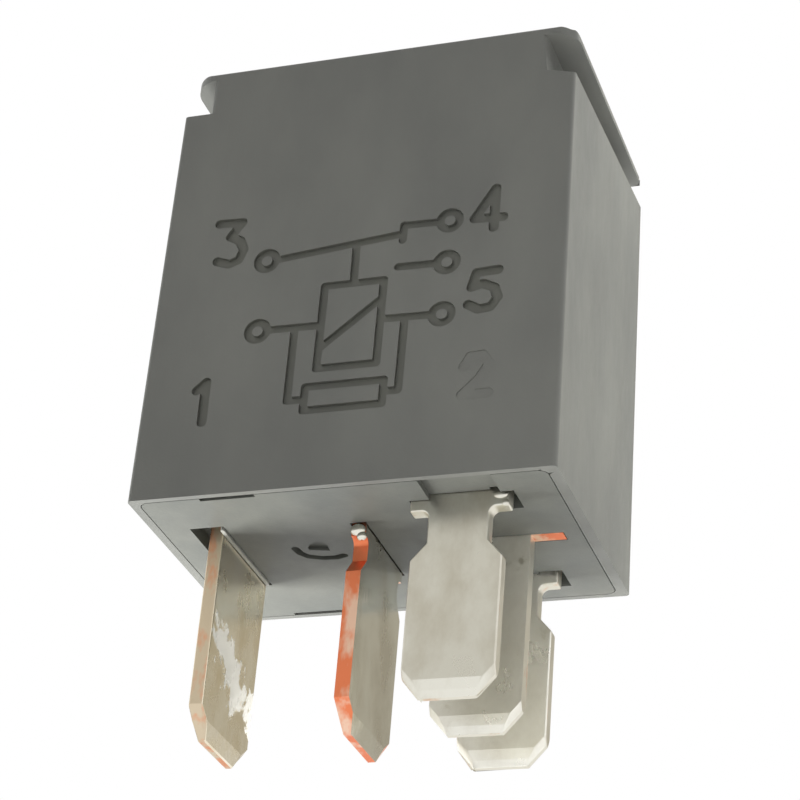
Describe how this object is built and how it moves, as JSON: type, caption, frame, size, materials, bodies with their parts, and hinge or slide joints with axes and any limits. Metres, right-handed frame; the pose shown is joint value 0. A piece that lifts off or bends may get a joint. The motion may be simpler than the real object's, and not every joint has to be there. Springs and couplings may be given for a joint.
{
  "type": "automotive relay",
  "caption": "Plug-in vehicle micro relay: black moulded cover with pull grooves, moulded base, flat blade terminals, and a coil, yoke, tipping armature, changeover contacts and resistor inside.",
  "frame": {"origin": "centre of the seating plane, which is the underside of the base and the mouth of the cover", "axes": "+Z towards the cover's top, with the blades hanging below; +X to the side of the row of narrow blades; the face with the circuit diagram looks along -Y"},
  "size_m": [0.0226, 0.015, 0.0381],
  "materials": {
    "cover_plastic": "moulded, faint grain",
    "base_plastic": "moulded, smooth",
    "tinned_sheet": "tinned, dull bright, bare copper alloy on the cut edges",
    "plated_iron": "plated",
    "bobbin_plastic": "moulded",
    "enamelled_copper": "enamelled wire, glossy",
    "resistor_lacquer": "lacquered",
    "tinned_wire": "tinned",
    "contact_silver": "fine turned",
    "rivet_steel": "headed",
    "spring_bronze": "rolled strip"
  },
  "bodies": {
    "housing": {"cover": "cover_plastic", "base": "base_plastic", "terminal_common": "tinned_sheet", "terminal_no": "tinned_sheet", "terminal_nc": "tinned_sheet", "terminal_coil_front": "tinned_sheet", "terminal_coil_back": "tinned_sheet", "yoke": "plated_iron", "core": "plated_iron", "bobbin": "bobbin_plastic", "winding": "enamelled_copper", "coil_lead_start": "enamelled_copper", "coil_lead_finish": "enamelled_copper", "resistor_body": "resistor_lacquer", "resistor_lead_front": "tinned_wire", "resistor_lead_back": "tinned_wire", "fixed_contact_no": "contact_silver", "fixed_contact_nc": "contact_silver", "yoke_rivets": "rivet_steel"},
    "armature": {"armature": "plated_iron", "armature_rivets": "rivet_steel", "contact_spring": "spring_bronze", "moving_contact": "contact_silver"}
  },
  "joints": [
    {"name": "armature_hinge", "type": "hinge", "parent": "housing", "child": "armature", "pos_m": [-0.00741, 0, 0.01844], "axis": [0, 1, 0], "range_deg": [0, 3.3], "stiffness_Nm_per_rad": 0.05, "springref_deg": -1.72, "deforming": ["contact_spring"]}
  ]
}
